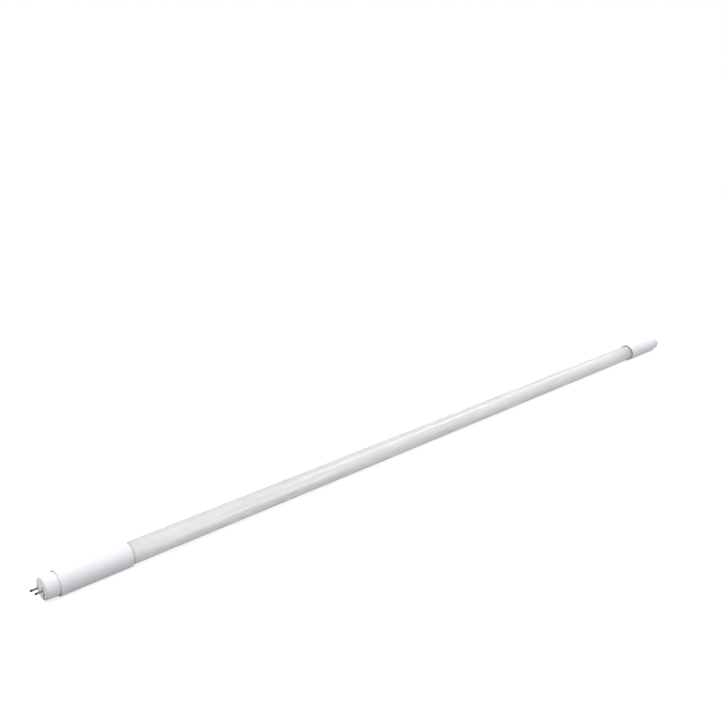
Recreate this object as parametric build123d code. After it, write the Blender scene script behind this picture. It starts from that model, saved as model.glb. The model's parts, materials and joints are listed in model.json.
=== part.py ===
"""LED tube lamp of the 1200 mm class: an opal plastic tube, 25 mm across, with a light board in it,
and a sleeve, 28 mm across, a nose and two contact pins at each end. Millimetres.

Frame: the origin is at mid-length on the tube's axis. +X runs from the end that holds the driver
to the plain end, Y is level and along the line of the pins, and +Z is the way the LEDs face.
Each end is drawn in its own frame, with x = 0 at the top of the domed face, level with the pins'
shoulders, between which the lamp is measured, and +x into the lamp.
"""
import os
from math import sqrt

from build123d import *

# the lamp from shoulder to shoulder, and its two-pin ends
lamp_length = 1199.4
pin_spacing = 12.7
pin_d = 2.35
pin_reach = 7.6
pin_tip_round = 0.8
pin_seat_d = 2.8
pin_flange_d = 4.2
pin_flange_thick = 0.8
pin_tail_d = 1.9
pin_tail = 3.2

# the opal tube and the two rails that hold the light board
tube_d = 25.0
tube_wall = 1.0
rail_width = 2.2
rail_lip = 0.9
rail_floor = 0.9
rail_inward = 1.1

# the sleeves
sleeve_wall = 1.3
sleeve_length = 80.0
sleeve_fit = 0.2
sleeve_front_round = 0.4
sleeve_mouth = 0.8
sleeve_taper_length = 5.0
sleeve_taper = 0.35
tube_insert = 20.0
stop_width = 1.5

# the noses, and what goes through their faces
nose_out = 15.2
nose_insert = 12.0
nose_wall = 1.3
nose_draft = 0.4
nose_edge_round = 1.8
dome_rise = 1.0
face_thick = 1.8
pin_hole_fit = 0.05
vent_d = 1.8
vent_up = 2.8
slot_width = 1.6
slot_run = 8.0
slot_lean = 32.0
slot_side = 5.4
slot_down = 6.3
inner_rib_count = 4
inner_rib_thick = 1.0
inner_rib_height = 1.0

# the light board and its LEDs
strip_width = 12.0
strip_thick = 1.0
strip_drop = 8.0
strip_overrun = 5.0
strip_fit = 0.15
led_pitch = 14.5
led_length = 3.5
led_width = 2.8
led_height = 0.7
led_edge = 0.25
led_window = 0.45
led_window_rise = 0.08
led_end_margin = 7.0

# the driver: a board inside a rolled insulating film
film_fit = 0.1
film_wall = 0.3
film_overhang = 1.0
film_clear = 1.2
part_gap = 0.9
board_thick = 1.2
board_drop = 3.0
board_fit = 0.15
board_corner = 1.5
lead_d = 0.6
lead_stand = 0.9

# driver components: each one's size, and how far its middle stands to the side
fuse_d = 3.2
fuse_chamfer = 0.6
fuse_length = 5.0
fuse_side = -5.6
fuse_lift = 0.5
varistor_d = 7.0
varistor_thick = 3.4
varistor_edge = 0.9
varistor_lead_gap = 5.0
varistor_side = 3.2
bridge_length = 4.7
bridge_width = 3.9
bridge_height = 2.5
bridge_side = -5.2
input_can_d = 8.0
input_can_length = 12.0
input_can_side = 3.6
film_cap_length = 7.2
film_cap_width = 3.6
film_cap_height = 6.2
film_cap_edge = 0.8
film_cap_side = -5.4
coil_core_length = 8.0
coil_core_height = 9.0
coil_leg = 2.0
coil_centre_d = 3.2
coil_bobbin_wall = 0.6
coil_flange_d = 6.4
coil_fit = 0.15
coil_winding_inset = 0.4
chip_length = 4.9
chip_width = 3.9
chip_height = 1.5
chip_lift = 0.15
chip_chamfer = 0.25
chip_leg_pitch = 1.27
chip_leg_count = 4
chip_leg_width = 0.42
chip_leg_reach = 1.0
chip_leg_thick = 0.25
chip_side = -4.6
output_can_d = 6.3
output_can_length = 8.6
output_can_side = 3.8
can_lead_gap = 2.6
can_chamfer = 0.6
can_lift = 0.15
can_groove_at = 1.8
can_groove_deep = 0.35
can_groove_wide = 0.8

# insulated wires
wire_d = 1.1
wire_sides = 8
wire_bend = 1.7
wire_pad_inset = 1.6
output_wire_rise = 2.4
output_wire_side = 2.2
strip_pad_inset = 1.8
link_run = 6.0

# how close an edge has to lie to the place it is looked for at
edge_match = 0.05

# what follows is worked out from the values above
half_length = lamp_length / 2
tube_r = tube_d / 2
tube_bore_r = tube_r - tube_wall
sleeve_bore_r = tube_r + sleeve_fit
sleeve_r = sleeve_bore_r + sleeve_wall
rim_front = dome_rise
face_back = rim_front + face_thick
sleeve_front = rim_front + nose_out
sleeve_end = sleeve_front + sleeve_length
tube_end = sleeve_end - tube_insert
nose_end = sleeve_front + nose_insert
tube_length = lamp_length - 2 * tube_end
nose_bore_r = tube_r - nose_wall
stop_r = nose_bore_r
rim_r = tube_r - nose_draft
dome_rim_r = rim_r - nose_edge_round
dome_r = (dome_rim_r ** 2 + dome_rise ** 2) / (2 * dome_rise)
pin_bore_d = pin_seat_d + 2 * pin_hole_fit
strip_bottom = -strip_drop - strip_thick
strip_length = tube_length + 2 * strip_overrun
film_r = nose_bore_r - film_fit
film_bore_r = film_r - film_wall
board_top = -board_drop
board_bottom = board_top - board_thick
board_width = 2 * (sqrt(film_bore_r**2 - board_bottom**2) - board_fit)
coil_core_width = coil_flange_d + 2 * coil_fit + 2 * coil_leg

# the driver's components stand in columns, a gap apart, counted from the board's pin end
lead_room = lead_stand + lead_d
input_column = wire_pad_inset + wire_d / 2 + part_gap
bridge_column = input_column + max(fuse_length + 2 * lead_room, varistor_thick) + part_gap
film_cap_column = bridge_column + bridge_length + part_gap
coil_column = max(film_cap_column + film_cap_length, bridge_column + lead_room + input_can_length) + part_gap
output_column = coil_column + coil_core_length + part_gap
pads_column = output_column + max(lead_room + output_can_length, chip_length) + part_gap
board_length = pads_column + wire_d / 2 + wire_pad_inset
film_length = board_length + 2 * film_overhang
film_start = tube_end - strip_overrun - film_clear - film_length
board_start = film_start + film_overhang
pin_sides = {"left": pin_spacing / 2, "right": -pin_spacing / 2}


def near_end(part):
    """Put a piece drawn in an end's own frame at the driver end."""
    return Location((-half_length, 0, 0)) * part


def far_end(part):
    """Put a piece drawn in an end's own frame at the plain end, turned to face outwards."""
    return Location((half_length, 0, 0), (0, 0, 180)) * part


def turned(points):
    """Turn a closed outline of (x, radius) points about the lamp's axis."""
    outline = make_face(Polyline(*[(x, 0, r) for x, r in points], close=True))
    return revolve(outline, Axis.X)


def rod(x_from, x_to, d, y=0.0, z=0.0):
    """A round bar along X."""
    return extrude(Plane((x_from, y, z), x_dir=(0, 1, 0), z_dir=(1, 0, 0)) * Circle(d / 2), x_to - x_from)


def block(x_from, x_to, y_mid, width, z_from, z_to):
    """A square block given by its ends along X, its middle in Y and its heights."""
    size = (x_to - x_from, width, z_to - z_from)
    return Pos((x_from + x_to) / 2, y_mid, (z_from + z_to) / 2) * Box(*size)


def rounded_at(part, x, r, radius):
    """Round the circular edge that lies at this x with this radius."""
    edges = [e for e in part.edges().filter_by(GeomType.CIRCLE)
             if abs(e.radius - r) < edge_match and abs(e.center().X - x) < edge_match]
    return fillet(edges, radius)


def diffuser_tube():
    """The extruded opal tube, with its two C-shaped rails for the light board."""
    section = Plane.YZ
    ring = section * (Circle(tube_r) - Circle(tube_bore_r))
    slot_half = strip_width / 2 + strip_fit
    rail_top = -strip_drop + strip_fit + rail_lip
    rail_low = strip_bottom - rail_floor
    rails = []
    for side in (1, -1):
        y_mid = side * (slot_half - rail_inward + rail_width)
        bar = Pos(y_mid, (rail_top + rail_low) / 2) * Rectangle(2 * rail_width, rail_top - rail_low)
        rails.append(section * (bar & Circle(tube_r - tube_wall / 2)))
    slot = section * (Pos(0, (strip_bottom - strip_drop + strip_fit) / 2)
                      * Rectangle(2 * slot_half, strip_thick + strip_fit))
    profile = ring + rails[0] + rails[1] - slot
    return Pos(-tube_length / 2, 0, 0) * extrude(profile, tube_length, dir=(1, 0, 0))


def sleeve():
    """The end sleeve: a thin tapered shell with a flared mouth and two inner stops, for the nose
    and for the tube."""
    front, back = sleeve_front, sleeve_end
    nose_stop, tube_stop = nose_end, tube_end - stop_width
    shell = turned([
        (front + sleeve_mouth, sleeve_bore_r), (front, sleeve_bore_r + sleeve_mouth), (front, sleeve_r),
        (back - sleeve_taper_length, sleeve_r), (back, sleeve_r - sleeve_taper),
        (back, sleeve_bore_r), (tube_stop + stop_width, sleeve_bore_r), (tube_stop + stop_width, stop_r),
        (tube_stop, stop_r), (tube_stop, sleeve_bore_r),
        (nose_stop + stop_width, sleeve_bore_r), (nose_stop + stop_width, stop_r),
        (nose_stop, stop_r), (nose_stop, sleeve_bore_r),
    ])
    return rounded_at(shell, front, sleeve_r, sleeve_front_round)


def face_slot():
    """The slanted slot through the face, under the pin on the right as one looks at the face."""
    face = Plane((0, 0, 0), x_dir=(0, -1, 0), z_dir=(1, 0, 0))
    outline = Pos(slot_side, slot_down) * SlotCenterToCenter(slot_run, slot_width, rotation=90 + slot_lean)
    return extrude(face * outline, face_back)


def nose():
    """The pin holder: a cup with a domed face, a bore and a vent above it for each pin, a slot,
    and inner ribs, whose ends stop the driver's film."""
    cup = turned([
        (rim_front, 0), (rim_front, rim_r), (sleeve_front, tube_r), (nose_end, tube_r),
        (nose_end, nose_bore_r), (face_back, nose_bore_r), (face_back, 0),
    ])
    cup = rounded_at(cup, rim_front, rim_r, nose_edge_round)
    cup += rod(0, rim_front, 2 * dome_rim_r) & Pos(dome_r, 0, 0) * Sphere(dome_r)
    for y in pin_sides.values():
        cup -= rod(0, face_back, pin_bore_d, y)
        cup -= rod(0, face_back, vent_d, y, vent_up)
    cup -= face_slot()
    rib_low = nose_bore_r - inner_rib_height
    rib_mid = (rib_low + nose_bore_r + nose_wall / 2) / 2
    rib = block(face_back, film_start, rib_mid, 2 * (rib_mid - rib_low),
                -inner_rib_thick / 2, inner_rib_thick / 2)
    for i in range(inner_rib_count):
        cup += Rot((i + 0.5) * 360 / inner_rib_count, 0, 0) * rib
    return cup


def pin(y):
    """A turned contact pin: a round-nosed shank, a thicker seat whose shoulder stands out of the
    face, a flange behind the face and a tail."""
    shank = rod(-pin_reach, 0, pin_d, y)
    tip = shank.faces().sort_by(Axis.X)[0].edges()
    shank = fillet(tip, pin_tip_round)
    seat = rod(0, face_back, pin_seat_d, y)
    flange_end = face_back + pin_flange_thick
    flange = rod(face_back, flange_end, pin_flange_d, y)
    return shank + seat + flange + rod(flange_end, flange_end + pin_tail, pin_tail_d, y)


def light_board():
    """The long light board that slides into the tube's rails."""
    return block(-strip_length / 2, strip_length / 2, 0, strip_width, strip_bottom, -strip_drop)


def led_places():
    """The middle of each LED along X: an even row, centred, as many as the board takes."""
    count = int((strip_length - 2 * led_end_margin - led_length) // led_pitch) + 1
    first = -(count - 1) * led_pitch / 2
    return [first + i * led_pitch for i in range(count)]


def led_bodies():
    """The LED packages: small white trays, each with a sloped well for its yellow filling."""
    tray = Box(led_length, led_width, led_height, align=(Align.CENTER, Align.CENTER, Align.MIN))
    well = Box(led_length - 2 * led_window, led_width - 2 * led_window, led_height - led_edge,
               align=(Align.CENTER, Align.CENTER, Align.MIN))
    body = tray - Pos(0, 0, led_edge) * well
    return Compound(children=[Pos(x, 0, -strip_drop) * body for x in led_places()])


def led_fillings():
    """The yellow phosphor filling in each LED's well."""
    fill = Box(led_length - 2 * led_window, led_width - 2 * led_window,
               led_height - led_edge - led_window_rise, align=(Align.CENTER, Align.CENTER, Align.MIN))
    return Compound(children=[Pos(x, 0, -strip_drop + led_edge) * fill for x in led_places()])


def insulating_film():
    """The rolled film round the driver, held inside the nose and the sleeve's stops."""
    end = film_start + film_length
    return turned([(film_start, film_bore_r), (film_start, film_r), (end, film_r), (end, film_bore_r)])


def driver_board():
    """The driver's board, on edge against the film's bore."""
    board = block(board_start, board_start + board_length, 0, board_width, board_bottom, board_top)
    return fillet(board.edges().filter_by(Axis.Z), board_corner)


def lead(*corners):
    """A stiff tinned lead that runs from corner to corner, eight-sided and sharply bent."""
    path = Polyline(*corners) if len(corners) > 2 else Line(*corners)
    section = Plane(path @ 0, z_dir=path % 0) * RegularPolygon(lead_d / 2, wire_sides)
    return sweep(section, path, transition=Transition.RIGHT)


def can_capacitor(column, side, d, length):
    """A can capacitor lying along the board, with a rolled groove and two bent leads."""
    x_from = board_start + column + lead_room
    r = d / 2
    z = board_top + r + can_lift
    can = turned([(0, 0), (0, r), (can_groove_at - can_groove_wide / 2, r),
                  (can_groove_at, r - can_groove_deep), (can_groove_at + can_groove_wide / 2, r),
                  (length - can_chamfer, r), (length, r - can_chamfer), (length, 0)])
    can = Pos(x_from, side, z) * can
    lead_x = x_from - lead_stand
    for y in (side - can_lead_gap / 2, side + can_lead_gap / 2):
        can += lead((lead_x, y, board_top), (lead_x, y, z), (x_from + lead_d, y, z))
    return can


def fuse_resistor():
    """The fusible resistor across the input, on two bent leads."""
    x_from = board_start + input_column + lead_room
    x_to = x_from + fuse_length
    z = board_top + fuse_lift + fuse_d / 2
    body = rod(x_from, x_to, fuse_d, fuse_side, z)
    body = chamfer(body.edges().filter_by(GeomType.CIRCLE), fuse_chamfer)
    return body + lead((x_from - lead_stand, fuse_side, board_top), (x_from - lead_stand, fuse_side, z),
                       (x_to + lead_stand, fuse_side, z), (x_to + lead_stand, fuse_side, board_top))


def varistor():
    """The surge varistor: a dipped disc that stands on two leads."""
    x = board_start + input_column + varistor_thick / 2
    z = board_top + lead_stand + varistor_d / 2
    disc = rod(x - varistor_thick / 2, x + varistor_thick / 2, varistor_d, varistor_side, z)
    disc = chamfer(disc.edges().filter_by(GeomType.CIRCLE), varistor_edge)
    for y in (varistor_side - varistor_lead_gap / 2, varistor_side + varistor_lead_gap / 2):
        disc += lead((x, y, board_top), (x, y, z))
    return disc


def chip(x, y, length, width, height, legs, pitch, leg_width):
    """A moulded chip with gull-wing legs down its two long sides."""
    z = board_top + chip_lift
    body = block(x, x + length, y, width, z, z + height)
    body = chamfer(body.edges().group_by(Axis.Z)[-1], chip_chamfer)
    mid = z + height / 2
    half_reach, half_thick = chip_leg_reach / 2, chip_leg_thick / 2
    for i in range(legs):
        leg_x = x + length / 2 + (i - (legs - 1) / 2) * pitch
        x_from, x_to = leg_x - leg_width / 2, leg_x + leg_width / 2
        for side in (1, -1):
            edge = y + side * width / 2
            knee = edge + side * half_reach
            body += block(x_from, x_to, (edge + knee) / 2, half_reach, mid - half_thick, mid + half_thick)
            body += block(x_from, x_to, knee - side * half_thick, chip_leg_thick, board_top, mid + half_thick)
            body += block(x_from, x_to, knee + side * half_reach / 2, half_reach,
                          board_top, board_top + chip_leg_thick)
    return body


def control_chip():
    """The eight-legged control chip."""
    return chip(board_start + output_column, chip_side, chip_length, chip_width, chip_height,
                chip_leg_count, chip_leg_pitch, chip_leg_width)


def bridge_rectifier():
    """The four-legged bridge rectifier."""
    return chip(board_start + bridge_column, bridge_side, bridge_length, bridge_width, bridge_height,
                2, 2 * chip_leg_pitch, 2 * chip_leg_width)


def film_capacitor():
    """The dipped film capacitor, a soft-edged block on two leads."""
    x = board_start + film_cap_column
    z = board_top + lead_stand
    body = block(x, x + film_cap_length, film_cap_side, film_cap_width, z, z + film_cap_height)
    body = chamfer(body.edges(), film_cap_edge)
    inset = film_cap_edge + lead_d
    for lead_x in (x + inset, x + film_cap_length - inset):
        body += lead((lead_x, film_cap_side, board_top), (lead_x, film_cap_side, z + film_cap_edge))
    return body


def coil_frame():
    """Where the coil's core stands: its X range and its heights, with the centre leg upright."""
    x = board_start + coil_column
    return x, x + coil_core_length, board_top, board_top + coil_core_height


def coil_core():
    """The coil's ferrite core: top and bottom yokes, two side legs and a round centre leg."""
    x0, x1, z0, z1 = coil_frame()
    core = block(x0, x1, 0, coil_core_width, z0, z1)
    core -= block(x0, x1, 0, coil_core_width - 2 * coil_leg, z0 + coil_leg, z1 - coil_leg)
    core = fillet(core.edges().filter_by(Axis.X).group_by(Axis.Z)[-1], coil_leg / 2)
    centre = Pos((x0 + x1) / 2, 0, z0 + coil_leg) * Cylinder(
        coil_centre_d / 2, coil_core_height - 2 * coil_leg,
        align=(Align.CENTER, Align.CENTER, Align.MIN))
    return core + centre


def bobbin_height():
    """The room between the yokes, which the bobbin fills."""
    return coil_core_height - 2 * coil_leg


def coil_bobbin():
    """The bobbin on the centre leg: a thin barrel between two flanges."""
    x0, x1, z0, _ = coil_frame()
    base = Pos((x0 + x1) / 2, 0, z0 + coil_leg)
    up = (Align.CENTER, Align.CENTER, Align.MIN)
    bore_r = coil_centre_d / 2 + coil_fit
    body = Cylinder(bore_r + coil_bobbin_wall, bobbin_height(), align=up)
    for z in (0, bobbin_height() - coil_bobbin_wall):
        body += Pos(0, 0, z) * Cylinder(coil_flange_d / 2, coil_bobbin_wall, align=up)
    return base * (body - Cylinder(bore_r, bobbin_height(), align=up))


def coil_winding():
    """The copper winding between the bobbin's flanges."""
    x0, x1, z0, _ = coil_frame()
    up = (Align.CENTER, Align.CENTER, Align.MIN)
    outer_r = coil_flange_d / 2 - coil_winding_inset
    barrel_r = coil_centre_d / 2 + coil_fit + coil_bobbin_wall
    height = bobbin_height() - 2 * coil_bobbin_wall
    ring = Cylinder(outer_r, height, align=up) - Cylinder(barrel_r, height, align=up)
    return Pos((x0 + x1) / 2, 0, z0 + coil_leg + coil_bobbin_wall) * ring


def bent_wire(*corners):
    """An insulated wire that runs from corner to corner, with a round bend at each inner one."""
    path = FilletPolyline(*corners, radius=wire_bend)
    return sweep(Plane(path @ 0, z_dir=path % 0) * RegularPolygon(wire_d / 2, wire_sides), path)


def input_wire(side):
    """The wire from a pin's tail to the driver board's pin end."""
    start_x = face_back + pin_flange_thick + pin_tail
    pad_x = board_start + wire_pad_inset
    return bent_wire((start_x, side, 0), (pad_x, side, 0), (pad_x, side, board_top))


def output_wire(sign):
    """The wire from the driver board's inner end down to the light board."""
    from_x = board_start + board_length - wire_pad_inset
    to_x = tube_end - strip_overrun + strip_pad_inset
    y, top = sign * output_wire_side, board_top + output_wire_rise
    return bent_wire((from_x, y, board_top), (from_x, y, top), (to_x, y, top), (to_x, y, -strip_drop))


def link_wire():
    """The wire that joins the plain end's two pins behind the nose's face."""
    start_x = face_back + pin_flange_thick + pin_tail
    y, inner_x = pin_spacing / 2, start_x + link_run
    return bent_wire((start_x, y, 0), (inner_x, y, 0), (inner_x, -y, 0), (start_x, -y, 0))


def build():
    """Every piece in its place, by node name."""
    pieces = {
        "diffuser_tube": diffuser_tube(),
        "near_sleeve": near_end(sleeve()),
        "far_sleeve": far_end(sleeve()),
        "near_nose": near_end(nose()),
        "far_nose": far_end(nose()),
        "light_board": light_board(),
        "led_bodies": led_bodies(),
        "led_fillings": led_fillings(),
        "insulating_film": near_end(insulating_film()),
        "driver_board": near_end(driver_board()),
        "fuse_resistor": near_end(fuse_resistor()),
        "varistor": near_end(varistor()),
        "bridge_rectifier": near_end(bridge_rectifier()),
        "input_capacitor": near_end(can_capacitor(bridge_column, input_can_side,
                                                  input_can_d, input_can_length)),
        "film_capacitor": near_end(film_capacitor()),
        "coil_core": near_end(coil_core()),
        "coil_bobbin": near_end(coil_bobbin()),
        "coil_winding": near_end(coil_winding()),
        "control_chip": near_end(control_chip()),
        "output_capacitor": near_end(can_capacitor(output_column, output_can_side,
                                                   output_can_d, output_can_length)),
        "live_wire": near_end(input_wire(pin_sides["left"])),
        "neutral_wire": near_end(input_wire(pin_sides["right"])),
        "plus_wire": near_end(output_wire(1)),
        "minus_wire": near_end(output_wire(-1)),
        "link_wire": far_end(link_wire()),
    }
    for name, y in pin_sides.items():
        pieces[f"near_pin_{name}"] = near_end(pin(y))
        pieces[f"far_pin_{name}"] = far_end(pin(y))
    return pieces


os.makedirs("parts", exist_ok=True)
for node, piece in build().items():
    export_step(piece, f"parts/{node}.step")
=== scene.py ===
"""Looks for the LED tube lamp: finishes for every piece, a pale floor, studio light and the camera.

Metres, in the part's own frame: +X from the driver end to the plain end, Y along the line of the
pins, +Z up. The lamp lies turned a little about its own axis in the picture, so the camera and the
lamps hang from one studio frame, which is turned by that angle.
"""

import json
import math

import bpy
from mathutils import Euler, Matrix, Vector

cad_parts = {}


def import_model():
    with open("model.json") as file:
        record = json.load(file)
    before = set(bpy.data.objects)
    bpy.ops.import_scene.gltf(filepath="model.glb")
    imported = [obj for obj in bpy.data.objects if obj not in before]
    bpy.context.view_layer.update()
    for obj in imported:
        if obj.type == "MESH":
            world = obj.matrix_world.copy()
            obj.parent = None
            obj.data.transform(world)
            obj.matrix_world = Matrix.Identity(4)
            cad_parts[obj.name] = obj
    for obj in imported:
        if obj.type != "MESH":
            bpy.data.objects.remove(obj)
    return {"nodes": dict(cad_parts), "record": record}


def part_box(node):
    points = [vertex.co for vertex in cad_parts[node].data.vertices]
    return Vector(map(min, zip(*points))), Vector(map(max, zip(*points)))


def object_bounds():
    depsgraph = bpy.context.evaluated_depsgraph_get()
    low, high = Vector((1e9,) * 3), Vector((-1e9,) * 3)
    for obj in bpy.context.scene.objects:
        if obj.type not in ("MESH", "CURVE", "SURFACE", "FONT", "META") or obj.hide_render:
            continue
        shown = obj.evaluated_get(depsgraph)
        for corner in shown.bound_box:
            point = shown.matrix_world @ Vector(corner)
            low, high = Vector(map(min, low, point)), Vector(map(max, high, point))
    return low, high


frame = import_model()
nodes = frame["nodes"]
cad_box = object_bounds()

# the camera, as fitted to the picture, in the studio's frame and from the middle of the near face
PICTURE = 724
SENSOR_MM = 36.0
FOCAL_PX = 840.1
CAMERA_FROM_END = Vector((-0.2578, -0.7371, 0.4775))
CAMERA_YAW = math.radians(46.714)
CAMERA_PITCH = math.radians(18.626)
LAMP_TURN = math.radians(11.5)

# the light: each strength is the brightness that the light gives a white surface facing it
SKY = (0.98, 0.99, 1.0)
SKY_STRENGTH = 0.54
KEY_STRENGTH = 0.60
KEY_ANGLE = math.radians(60)
KEY_TILT = math.radians(4)
FILL_STRENGTH = 0.11
FILL_ANGLE = math.radians(40)
STRIP_REACH = 1.4
# each strip: its own brightness, colour and width, and for each end its x and its angle above the
# horizontal, seen from the lamp's axis; the first two are one line, dimmer towards the far end
STRIPS = [
    (29.0, (1.0, 1.0, 1.0), 0.045, (0.62, 79), (1.75, 93)),
    (24.0, (1.0, 1.0, 1.0), 0.045, (1.75, 93), (2.53, 103)),
    (29.0, (0.85, 0.92, 1.0), 0.06, (0.15, 13), (0.78, 13)),
]

# the floor: its size, the grey that lights the part from below, the grey that takes the shadow, the
# white glow added to that where the floor shows, and how much less of the glow shows in gloss
FLOOR_SIZE = 12.0
FLOOR_BOUNCE = (0.42, 0.42, 0.433, 1)
FLOOR_SHADE = (0.3, 0.3, 0.3, 1)
FLOOR_GLOW = 0.8
FLOOR_GLOSS_DIMS = 0.25

# the small openings in the noses' faces, painted dark inside as shade, as one looks at a face
VENT_SIDE = 0.00635
VENT_UP = 0.0028
VENT_R = 0.00093
SLOT_SIDE = 0.0054
SLOT_DOWN = 0.0063
SLOT_LEAN = math.radians(32)
SLOT_HALF_WIDTH = 0.00083
SLOT_HALF_LENGTH = 0.0048

# the rounded edge of a nose's face, painted with shade: how far behind the face's top it starts and ends, and
# its radius
FACE_EDGE_START = 0.0009
FACE_EDGE_END = 0.0027
FACE_EDGE_R = 0.0101

# the flared mouth of a sleeve's bore round the nose, which is painted with shade: its largest radius and how
# far it goes in
MOUTH_R = 0.01345
MOUTH_DEEP = 0.001

# the width of the line of painted shade on the tube beside a sleeve, and how deep the painted shade goes onto
# the sleeve's cut edge
JOINT_SHADE_WIDTH = 0.0024
RIM_SHADE_DEEP = 0.0003

# where the painted dark reflection on a pin's tip starts and is full, out from the face
TIP_START = 0.004
TIP_FULL = 0.0068

# places along the lamp, as distances from its middle: both ends are alike
face_x = -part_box("near_nose")[0][0]
mouth_x = -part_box("near_sleeve")[0][0]
sleeve_edge = -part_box("near_sleeve")[1][0]
end_middle = Vector((-face_x, 0.0, 0.0))
floor_height = cad_box[0][2]
studio_turn = Matrix.Rotation(LAMP_TURN, 4, "X")


class Finish:
    """A new node material, with short ways to add to its tree."""

    def __init__(self, name):
        self.mat = bpy.data.materials.new(name)
        self.mat.use_nodes = True
        self.nodes = self.mat.node_tree.nodes
        self.links = self.mat.node_tree.links
        self.shader = self.nodes["Principled BSDF"]

    def node(self, kind, **inputs):
        """A new node, with its sockets set or linked by name."""
        made = self.nodes.new(kind)
        for name, value in inputs.items():
            self.put(made.inputs[name.replace("_", " ")], value)
        return made

    def put(self, socket, value):
        """Link an output to the socket, or set the socket to a plain value."""
        if isinstance(value, bpy.types.NodeSocket):
            self.links.new(value, socket)
        else:
            socket.default_value = value

    def place(self, stretch=(1, 1, 1)):
        """The point's own coordinates in metres, stretched."""
        source = self.node("ShaderNodeTexCoord")
        made = self.node("ShaderNodeMapping", Vector=source.outputs["Object"], Scale=stretch)
        return made.outputs["Vector"]

    def along(self, axis):
        """The point's coordinate along one axis, in metres."""
        return self.node("ShaderNodeSeparateXYZ", Vector=self.place()).outputs[axis]

    def noise(self, grain, stretch=(1, 1, 1), detail=3.0):
        """A noise value from 0 to 1, with this grain in metres."""
        return self.node("ShaderNodeTexNoise", Vector=self.place(stretch), Scale=1 / grain,
                         Detail=detail).outputs["Fac"]

    def spread(self, value, low, high, start=0.0, end=1.0):
        """The value, spread from start and end to low and high."""
        made = self.node("ShaderNodeMapRange", Value=value)
        made.inputs["From Min"].default_value = start
        made.inputs["From Max"].default_value = end
        made.inputs["To Min"].default_value = low
        made.inputs["To Max"].default_value = high
        return made.outputs["Result"]

    def math(self, operation, first, second):
        """A sum or comparison of two values."""
        made = self.node("ShaderNodeMath")
        made.operation = operation
        self.put(made.inputs[0], first)
        self.put(made.inputs[1], second)
        return made.outputs["Value"]

    def mix(self, share, first, second):
        """A mix of two colours."""
        made = self.node("ShaderNodeMix")
        made.data_type = "RGBA"
        self.put(made.inputs["Factor"], share)
        for socket, value in ((made.inputs[6], first), (made.inputs[7], second)):
            self.put(socket, value if isinstance(value, bpy.types.NodeSocket) else (*value, 1))
        return made.outputs[2]

    def colour(self, value):
        self.put(self.shader.inputs["Base Color"], value)

    def set(self, **inputs):
        """Set or link sockets of the main shader by name."""
        for name, value in inputs.items():
            self.put(self.shader.inputs[name.replace("_", " ")], value)

    def relief(self, height, depth):
        """A fine relief of this depth in metres."""
        made = self.node("ShaderNodeBump", Height=height, Strength=1.0, Distance=depth)
        self.set(Normal=made.outputs["Normal"])


def moulded(name, dark, light, rough, grain, depth, stretch=(1, 1, 1)):
    """A finish whose colour, roughness and relief vary, with one fine grain and one broad one."""
    made = Finish(name)
    fine = made.noise(grain, stretch)
    broad = made.noise(grain * 30, stretch)
    made.colour(made.mix(made.spread(broad, 0, 1, 0.3, 0.7), dark, light))
    made.set(Roughness=made.spread(fine, *rough))
    made.relief(fine, depth)
    return made


def opal_tube():
    """Opal extruded plastic: milky, lets light through, with faint draw lines along its length and
    a line of painted shade beside each sleeve, where the sleeve's lip shades the tube."""
    made = moulded("opal_tube", (0.98, 0.985, 0.99), (0.99, 0.993, 0.997), (0.5, 0.6), 0.0006, 0.000003,
                   stretch=(0.02, 1, 1))
    opal = made.shader.inputs["Base Color"].links[0].from_socket
    reach = made.math("ABSOLUTE", made.along("X"), 0)
    # painted shade: the tube is darkened in a narrow band beside each sleeve's mouth, where the sleeve's lip
    # shades it
    joint_shade = made.spread(reach, 0, 1, sleeve_edge - JOINT_SHADE_WIDTH, sleeve_edge - JOINT_SHADE_WIDTH / 2)
    made.colour(made.mix(joint_shade, opal, (0.74, 0.75, 0.76)))
    made.set(Transmission_Weight=0.78, IOR=1.5, Specular_IOR_Level=0.0)
    made.set(Coat_Weight=1.0, Coat_Roughness=0.08, Coat_IOR=1.6)
    return made


def cap_white():
    """Smooth white moulded plastic, satin outside, with painted shade: grey inside the mouth of the bore
    and grey on the cut edge round the tube, where the nose and the tube shade them."""
    made = moulded("cap_white", (0.885, 0.90, 0.92), (0.905, 0.92, 0.94), (0.3, 0.38), 0.0004, 0.000004)
    made.set(Subsurface_Weight=0.1, Subsurface_Radius=(1, 1, 1), Subsurface_Scale=0.004)
    white = made.shader.inputs["Base Color"].links[0].from_socket
    across, up = made.along("Y"), made.along("Z")
    apart = made.math("ADD", made.math("MULTIPLY", across, across), made.math("MULTIPLY", up, up))
    inner = made.math("LESS_THAN", apart, MOUTH_R ** 2)
    reach = made.math("ABSOLUTE", made.along("X"), 0)
    front = made.math("GREATER_THAN", reach, mouth_x - MOUTH_DEEP)
    # painted shade on the sleeve's cut edge round the tube, where the tube shades it
    rim_shaded = made.mix(made.math("LESS_THAN", reach, sleeve_edge + RIM_SHADE_DEEP), white, (0.3, 0.303, 0.306))
    # painted shade inside the mouth of the bore, in the gap round the nose
    made.colour(made.mix(made.math("MULTIPLY", inner, front), rim_shaded, (0.25, 0.253, 0.256)))
    return made


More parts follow.
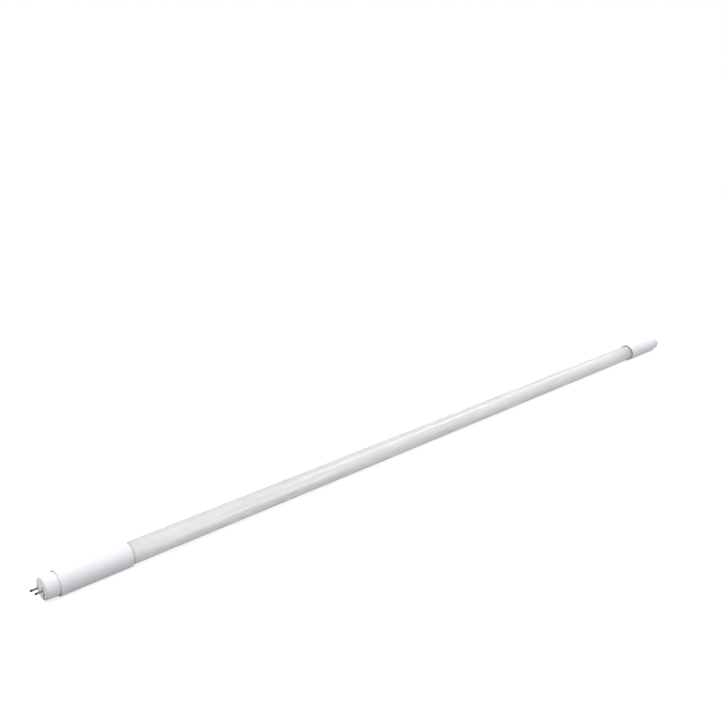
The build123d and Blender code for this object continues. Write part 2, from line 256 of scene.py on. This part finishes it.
def nose_white():
    """White moulded plastic with a fine eroded grain, with painted shade on the rounded edge of the face
    so that it is as grey as the shaded face, and painted shade inside the vents and the slot."""
    made = moulded("nose_white", (0.875, 0.885, 0.90), (0.895, 0.905, 0.92), (0.42, 0.55), 0.0003, 0.00001)
    made.set(Subsurface_Weight=0.1, Subsurface_Radius=(1, 1, 1), Subsurface_Scale=0.001)
    white = made.shader.inputs["Base Color"].links[0].from_socket
    right = made.math("MULTIPLY", made.math("SIGN", made.along("X"), 0), made.along("Y"))
    down = made.math("MULTIPLY", made.along("Z"), -1)
    aside = made.math("SUBTRACT", made.math("ABSOLUTE", right, 0), VENT_SIDE)
    below = made.math("ADD", down, VENT_UP)
    apart = made.math("ADD", made.math("MULTIPLY", aside, aside), made.math("MULTIPLY", below, below))
    vents = made.math("LESS_THAN", apart, VENT_R ** 2)
    aside = made.math("SUBTRACT", right, SLOT_SIDE)
    below = made.math("SUBTRACT", down, SLOT_DOWN)
    lean_x, lean_y = math.sin(SLOT_LEAN), math.cos(SLOT_LEAN)
    length = made.math("SUBTRACT", made.math("MULTIPLY", below, lean_y), made.math("MULTIPLY", aside, lean_x))
    width = made.math("ADD", made.math("MULTIPLY", aside, lean_y), made.math("MULTIPLY", below, lean_x))
    inside = made.math("LESS_THAN", made.math("ABSOLUTE", length, 0), SLOT_HALF_LENGTH)
    narrow = made.math("LESS_THAN", made.math("ABSOLUTE", width, 0), SLOT_HALF_WIDTH)
    slot = made.math("MULTIPLY", inside, narrow)
    reach = made.math("ABSOLUTE", made.along("X"), 0)
    behind = made.math("GREATER_THAN", reach, face_x - FACE_EDGE_END)
    before = made.math("LESS_THAN", reach, face_x - FACE_EDGE_START)
    apart = made.math("ADD", made.math("MULTIPLY", right, right), made.math("MULTIPLY", down, down))
    outer = made.math("GREATER_THAN", apart, FACE_EDGE_R ** 2)
    edge = made.math("MULTIPLY", made.math("MULTIPLY", behind, before), outer)
    # painted shade: the rounded edge of the face is greyed to match the face in shade
    white = made.mix(edge, white, (0.72, 0.73, 0.735))
    # painted shade: the vents and the slot are painted near black, as the shade deep inside them
    made.colour(made.mix(made.math("MAXIMUM", vents, slot), white, (0.07, 0.07, 0.075)))
    return made


def pin_metal():
    """Plated pins with rings from turning, with a painted dark reflection at the tips."""
    made = Finish("pin_metal")
    rings = made.noise(0.00025, stretch=(8, 1, 1))
    reach = made.math("ABSOLUTE", made.along("X"), 0)
    tips = made.spread(reach, 0, 1, face_x + TIP_START, face_x + TIP_FULL)
    plated = made.mix(rings, (0.15, 0.155, 0.16), (0.36, 0.37, 0.38))
    # painted reflection: the tips are darkened as if they mirrored a dark surround
    made.colour(made.mix(tips, plated, (0.012, 0.012, 0.012)))
    made.set(Metallic=1.0, Roughness=made.spread(rings, 0.28, 0.45))
    made.relief(rings, 0.000006)
    return made


def laminate(name, mask, track, pitch):
    """A board under a glossy solder mask, with raised tracks that run along it and across it."""
    made = Finish(name)
    tracks = made.node("ShaderNodeTexBrick", Vector=made.place(), Color1=(1, 1, 1, 1), Color2=(1, 1, 1, 1),
                       Mortar=(0, 0, 0, 1), Scale=1.0, Mortar_Size=pitch * 0.05, Mortar_Smooth=0.2,
                       Brick_Width=pitch, Row_Height=pitch * 0.25).outputs["Color"]
    grain = made.noise(0.0005)
    made.colour(made.mix(made.mix(0.2, tracks, made.noise(0.002)), mask, track))
    made.set(Roughness=made.spread(grain, 0.22, 0.34))
    made.relief(tracks, 0.00003)
    return made


def white_laminate():
    return laminate("white_laminate", (0.88, 0.885, 0.88), (0.94, 0.945, 0.94), 0.0145)


def green_laminate():
    return laminate("green_laminate", (0.012, 0.10, 0.035), (0.03, 0.19, 0.07), 0.006)


def led_tray():
    """The glossy white trays of the LEDs."""
    return moulded("led_tray", (0.82, 0.82, 0.80), (0.88, 0.88, 0.87), (0.2, 0.3), 0.0001, 0.000003)


def led_phosphor():
    """Silicone filled with yellow powder, grainy close up."""
    made = moulded("led_phosphor", (0.78, 0.55, 0.06), (0.86, 0.66, 0.12), (0.25, 0.4), 0.00008, 0.000006)
    made.set(Subsurface_Weight=0.3, Subsurface_Radius=(1, 0.7, 0.2), Subsurface_Scale=0.0005)
    return made


def clear_film():
    """Clear polyester film with soft creases."""
    made = moulded("clear_film", (0.86, 0.87, 0.85), (0.90, 0.91, 0.89), (0.08, 0.2), 0.004, 0.0001,
                   stretch=(0.3, 1, 1))
    made.set(Transmission_Weight=0.85, IOR=1.55)
    return made


def resistor_coating():
    """Grey-green lacquer with four painted rings."""
    made = Finish("resistor_coating")
    low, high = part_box("fuse_resistor")
    length = high[0] - low[0]
    x = made.along("X")
    colour = made.mix(made.noise(0.0008), (0.16, 0.22, 0.17), (0.22, 0.29, 0.23))
    rings = [(0.36, (0.25, 0.09, 0.03)), (0.46, (0.01, 0.01, 0.01)), (0.56, (0.01, 0.01, 0.01)),
             (0.68, (0.45, 0.30, 0.08))]
    for share, paint in rings:
        apart = made.math("ABSOLUTE", made.math("SUBTRACT", x, low[0] + share * length), 0)
        colour = made.mix(made.math("LESS_THAN", apart, 0.025 * length), colour, paint)
    made.colour(colour)
    made.set(Roughness=made.spread(made.noise(0.0003), 0.35, 0.5))
    made.relief(made.noise(0.0003), 0.00001)
    return made


def varistor_coating():
    """Blue dipped epoxy with a pebbled gloss."""
    return moulded("varistor_coating", (0.02, 0.07, 0.30), (0.03, 0.11, 0.40), (0.2, 0.35), 0.0005, 0.00003)


def black_resin():
    """Black moulding resin with a fine matt grain."""
    return moulded("black_resin", (0.012, 0.012, 0.013), (0.028, 0.028, 0.03), (0.5, 0.7), 0.0001, 0.000008)


def can_wrap():
    """A dark shrink wrap over the can, which leaves its flat end bare metal."""
    made = moulded("can_wrap", (0.015, 0.02, 0.045), (0.03, 0.035, 0.07), (0.2, 0.3), 0.0006, 0.00001)
    wrap = made.shader.inputs["Base Color"].links[0].from_socket
    facing = made.node("ShaderNodeSeparateXYZ", Vector=made.node("ShaderNodeNewGeometry").outputs["Normal"])
    bare = made.math("GREATER_THAN", facing.outputs["X"], 0.9)
    made.colour(made.mix(bare, wrap, (0.62, 0.62, 0.63)))
    made.set(Metallic=bare)
    return made


def dipped_red():
    """Dark red dipped epoxy, glossy and slightly pebbled."""
    return moulded("dipped_red", (0.20, 0.03, 0.02), (0.28, 0.05, 0.03), (0.15, 0.28), 0.0006, 0.00003)


def ferrite():
    """Sintered ferrite: dark grey, matt and speckled."""
    return moulded("ferrite", (0.03, 0.03, 0.032), (0.075, 0.075, 0.08), (0.55, 0.75), 0.00015, 0.00001)


def bobbin_plastic():
    """Brown-black moulded bobbin."""
    return moulded("bobbin_plastic", (0.03, 0.02, 0.014), (0.05, 0.034, 0.025), (0.4, 0.55), 0.0003, 0.00001)


def copper_wire():
    """Turns of enamelled copper wire, one over the other."""
    made = Finish("copper_wire")
    turns = made.node("ShaderNodeTexWave", Vector=made.place((1, 1, 2200)), Scale=1.0, Distortion=0.6)
    turns.bands_direction = "Z"
    height = turns.outputs["Fac"]
    made.colour(made.mix(height, (0.30, 0.09, 0.03), (0.62, 0.24, 0.09)))
    made.set(Metallic=1.0, Roughness=made.spread(made.noise(0.0004), 0.22, 0.36), Coat_Weight=0.6,
             Coat_Roughness=0.15)
    made.relief(height, 0.00008)
    return made


def insulation(name, dark, light):
    """Soft extruded wire insulation, with a slight sheen along it."""
    return moulded(name, dark, light, (0.32, 0.45), 0.0004, 0.00001, stretch=(0.3, 1, 1))


def wire_brown():
    return insulation("wire_brown", (0.12, 0.045, 0.02), (0.16, 0.06, 0.03))


def wire_blue():
    return insulation("wire_blue", (0.02, 0.08, 0.35), (0.03, 0.11, 0.45))


def wire_red():
    return insulation("wire_red", (0.42, 0.02, 0.02), (0.52, 0.03, 0.03))


def wire_black():
    return insulation("wire_black", (0.015, 0.015, 0.015), (0.03, 0.03, 0.03))


def wire_white():
    return insulation("wire_white", (0.72, 0.72, 0.70), (0.80, 0.80, 0.78))


FINISHES = {
    "opal_plastic": opal_tube, "cap_plastic": cap_white, "nose_plastic": nose_white,
    "pin_metal": pin_metal, "white_laminate": white_laminate, "led_tray": led_tray,
    "led_phosphor": led_phosphor, "clear_film": clear_film, "green_laminate": green_laminate,
    "resistor_coating": resistor_coating, "varistor_coating": varistor_coating,
    "black_resin": black_resin, "can_wrap": can_wrap, "dipped_red": dipped_red, "ferrite": ferrite,
    "bobbin_plastic": bobbin_plastic, "copper_wire": copper_wire, "wire_brown": wire_brown,
    "wire_blue": wire_blue, "wire_red": wire_red, "wire_black": wire_black, "wire_white": wire_white,
}

# where the tinned leads of a component are: the axis, and how far in from its low and high ends
LEADS = {
    "fuse_resistor": ("X", 0.0015, 0.0015),
    "varistor": ("Z", 0.0009, 0.0),
    "film_capacitor": ("Z", 0.0009, 0.0),
    "input_capacitor": ("X", 0.0012, 0.0),
    "output_capacitor": ("X", 0.0012, 0.0),
    "bridge_rectifier": ("Y", 0.001, 0.001),
    "control_chip": ("Y", 0.001, 0.001),
}


def tin_leads(made, node, axis, from_low, from_high):
    """Show bare tinned metal near the node's ends on this axis, and its own finish between."""
    low, high = (corner["XYZ".index(axis)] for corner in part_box(node))
    place = made.along(axis)
    below = made.math("LESS_THAN", place, low + from_low)
    above = made.math("GREATER_THAN", place, high - from_high)
    bare = made.math("MAXIMUM", below, above)
    for name, tinned in (("Base Color", (0.70, 0.69, 0.67)), ("Metallic", 1.0)):
        socket = made.shader.inputs[name]
        if socket.links:
            own = socket.links[0].from_socket
        else:
            own = socket.default_value
        if name == "Base Color":
            made.put(socket, made.mix(bare, own, tinned))
        else:
            made.put(socket, made.math("MAXIMUM", bare, own))


def dress():
    """Every piece gets the finish of its slot."""
    made = {}
    for part in frame["record"]["subparts"]:
        node, slot = part["node"], part["material_slot"]
        if node in LEADS:
            finish = FINISHES[slot]()
            tin_leads(finish, node, *LEADS[node])
        else:
            finish = made[slot] = made[slot] if slot in made else FINISHES[slot]()
        for holder in nodes[node].material_slots:
            holder.material = finish.mat


def shows_background(tree):
    """1 for the rays that show the background: from the camera, and by gloss or through glass."""
    path = tree.nodes.new("ShaderNodeLightPath")
    total = path.outputs["Is Camera Ray"]
    for name in ("Is Glossy Ray", "Is Transmission Ray"):
        larger = tree.nodes.new("ShaderNodeMath")
        larger.operation = "MAXIMUM"
        tree.links.new(total, larger.inputs[0])
        tree.links.new(path.outputs[name], larger.inputs[1])
        total = larger.outputs["Value"]
    return total


def world():
    """A soft even sky for the light, and plain white for the background."""
    made = bpy.data.worlds.new("studio")
    bpy.context.scene.world = made
    made.use_nodes = True
    tree = made.node_tree
    sky = tree.nodes["Background"]
    sky.inputs["Color"].default_value = (*SKY, 1)
    sky.inputs["Strength"].default_value = SKY_STRENGTH
    white = tree.nodes.new("ShaderNodeBackground")
    white.inputs["Color"].default_value = (1, 1, 1, 1)
    mix = tree.nodes.new("ShaderNodeMixShader")
    tree.links.new(shows_background(tree), mix.inputs["Fac"])
    tree.links.new(sky.outputs["Background"], mix.inputs[1])
    tree.links.new(white.outputs["Background"], mix.inputs[2])
    tree.links.new(mix.outputs["Shader"], tree.nodes["World Output"].inputs["Surface"])


def floor():
    """The pale floor: white where it shows, with a soft shadow, and grey to the light it throws up."""
    mesh = bpy.data.meshes.new("floor")
    half = FLOOR_SIZE / 2
    corners = [(-half, -half), (half, -half), (half, half), (-half, half)]
    mesh.from_pydata([(x, y, floor_height) for x, y in corners], [], [(0, 1, 2, 3)])
    piece = bpy.data.objects.new("floor", mesh)
    bpy.context.scene.collection.objects.link(piece)
    paper = Finish("floor_paper")
    paper.nodes.remove(paper.shader)
    bounce = paper.node("ShaderNodeBsdfDiffuse", Color=FLOOR_BOUNCE)
    seen = paper.node("ShaderNodeBsdfDiffuse", Color=FLOOR_SHADE)
    glossy = paper.node("ShaderNodeLightPath").outputs["Is Glossy Ray"]
    dimmed = paper.math("MULTIPLY", glossy, FLOOR_GLOSS_DIMS)
    glow = paper.node("ShaderNodeEmission", Strength=paper.math("SUBTRACT", FLOOR_GLOW, dimmed))
    add, mix = paper.node("ShaderNodeAddShader"), paper.node("ShaderNodeMixShader")
    paper.links.new(seen.outputs["BSDF"], add.inputs[0])
    paper.links.new(glow.outputs["Emission"], add.inputs[1])
    paper.links.new(shows_background(paper.mat.node_tree), mix.inputs["Fac"])
    paper.links.new(bounce.outputs["BSDF"], mix.inputs[1])
    paper.links.new(add.outputs["Shader"], mix.inputs[2])
    paper.links.new(mix.outputs["Shader"], paper.nodes["Material Output"].inputs["Surface"])
    mesh.materials.append(paper.mat)


def hang(name, data, matrix):
    """Place a camera or lamp given in the studio's frame."""
    thing = bpy.data.objects.new(name, data)
    thing.matrix_world = studio_turn @ matrix
    bpy.context.scene.collection.objects.link(thing)
    return thing


def strip_place(x, angle):
    """A point at the strips' reach from the lamp's axis, on the camera's side or over the top."""
    angle = math.radians(angle)
    return Vector((x, -STRIP_REACH * math.cos(angle), STRIP_REACH * math.sin(angle)))


def soft_sun(name, strength, angle, turn):
    """A broad soft light from far off, which shows in no gloss."""
    sun = bpy.data.lights.new(name, "SUN")
    sun.energy = strength * math.pi
    sun.angle = angle
    hang(name, sun, Euler(turn).to_matrix().to_4x4()).visible_glossy = False


def lights():
    """A soft key from overhead, a weak fill on the near face, and narrow strips that draw the bright
    lines along the tube."""
    soft_sun("key", KEY_STRENGTH, KEY_ANGLE, (KEY_TILT, 0, 0))
    soft_sun("fill", FILL_STRENGTH, FILL_ANGLE, (0, -math.pi / 2, 0))
    for radiance, colour, width, start, end in STRIPS:
        first, last = strip_place(*start), strip_place(*end)
        middle = (first + last) / 2
        strip = bpy.data.lights.new("strip", "AREA")
        strip.shape = "RECTANGLE"
        strip.size, strip.size_y = (last - first).length, width
        strip.color = colour
        strip.energy = radiance * math.pi * strip.size * strip.size_y
        run = (last - first).normalized()
        back = Vector((0.0, middle.y, middle.z)).normalized()
        across = back.cross(run).normalized()
        turn = Matrix((run, across, run.cross(across))).transposed().to_4x4()
        lamp = hang("strip", strip, Matrix.Translation(middle) @ turn)
        lamp.visible_diffuse = lamp.visible_transmission = False


def camera():
    """The camera, at the picture's place and angle."""
    data = bpy.data.cameras.new("camera")
    data.sensor_width = SENSOR_MM
    data.lens = SENSOR_MM * FOCAL_PX / PICTURE
    data.clip_start, data.clip_end = 0.01, 100.0
    ahead = Vector((math.cos(CAMERA_YAW) * math.cos(CAMERA_PITCH),
                    math.sin(CAMERA_YAW) * math.cos(CAMERA_PITCH), -math.sin(CAMERA_PITCH)))
    turn = ahead.to_track_quat("-Z", "Y").to_matrix().to_4x4()
    place = Matrix.Translation(end_middle + CAMERA_FROM_END)
    bpy.context.scene.camera = hang("camera", data, place @ turn)


dress()
world()
floor()
lights()
camera()
bpy.context.scene.view_settings.view_transform = "Standard"
